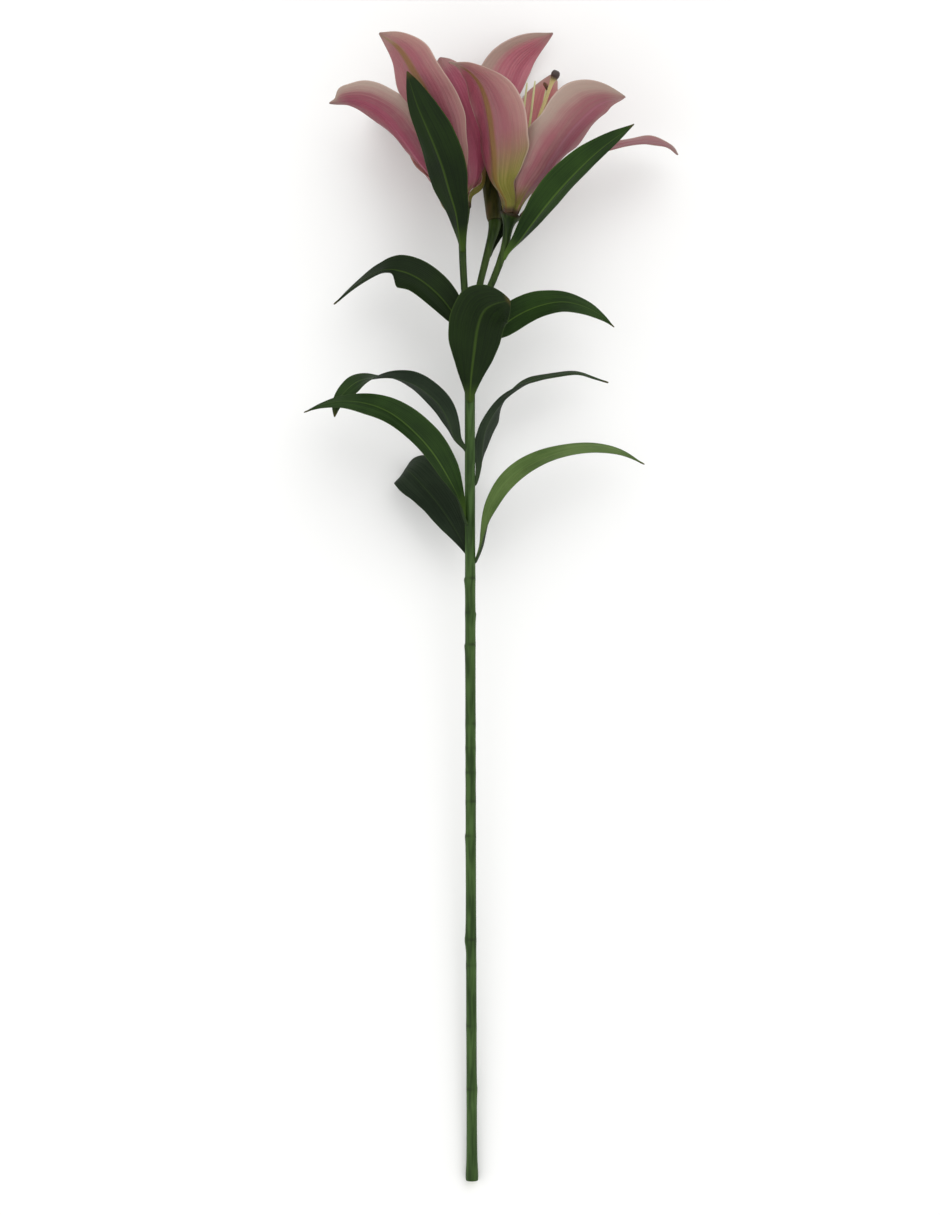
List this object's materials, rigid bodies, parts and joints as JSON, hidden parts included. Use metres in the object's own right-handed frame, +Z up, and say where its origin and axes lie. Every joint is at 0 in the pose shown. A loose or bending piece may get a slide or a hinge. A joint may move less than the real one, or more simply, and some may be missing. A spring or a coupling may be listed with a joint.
{
  "type": "cut lily",
  "caption": "Cut lily lying on its side: a leafy green stem that branches into pink trumpet blooms and a closed bud.",
  "frame": {"origin": "middle of the plant's bounding box in X and Y, on the surface it lies on", "axes": "+Y along the stem from the cut end to the blooms, +Z up from the surface, +X to the right of the stem when seen from above with the blooms away from the viewer"},
  "size_m": [0.2654, 0.814, 0.1281],
  "materials": {
    "stem_green": "satin",
    "leaf_green": "satin",
    "bud_green": "satin",
    "petal_pink": "soft matte",
    "filament_green": "satin",
    "pollen_brown": "matte"
  },
  "bodies": {
    "root": {"stem": "stem_green", "flower_stalk_left": "stem_green", "flower_stalk_middle": "stem_green", "flower_stalk_right": "stem_green", "bud": "bud_green", "leaf_1_upper_left": "leaf_green", "leaf_2_front": "leaf_green", "leaf_3_upper_right": "leaf_green", "leaf_4_mid_left": "leaf_green", "leaf_5_lower_left": "leaf_green", "leaf_6_back_left": "leaf_green", "leaf_7_mid_right": "leaf_green", "leaf_8_lower_right": "leaf_green", "bract_1_left": "leaf_green", "bract_2_right": "leaf_green", "bract_3_back": "leaf_green", "sepal_left_front": "petal_pink", "sepal_left_right": "petal_pink", "sepal_left_back": "petal_pink", "petal_left_side": "petal_pink", "petal_left_front": "petal_pink", "petal_left_back": "petal_pink", "sepal_right_front": "petal_pink", "sepal_right_side": "petal_pink", "sepal_right_back": "petal_pink", "petal_right_front": "petal_pink", "petal_right_back": "petal_pink", "petal_right_left": "petal_pink", "filament_left_1": "filament_green", "filament_left_2": "filament_green", "filament_left_3": "filament_green", "filament_left_4": "filament_green", "filament_left_5": "filament_green", "filament_left_6": "filament_green", "filament_right_1": "filament_green", "filament_right_2": "filament_green", "filament_right_3": "filament_green", "filament_right_4": "filament_green", "filament_right_5": "filament_green", "filament_right_6": "filament_green", "anther_left_1": "pollen_brown", "anther_left_2": "pollen_brown", "anther_left_3": "pollen_brown", "anther_left_4": "pollen_brown", "anther_left_5": "pollen_brown", "anther_left_6": "pollen_brown", "anther_right_1": "pollen_brown", "anther_right_4": "pollen_brown", "anther_right_5": "pollen_brown", "anther_right_6": "pollen_brown", "pistil_left": "filament_green", "pistil_right": "filament_green"}
  },
  "joints": []
}
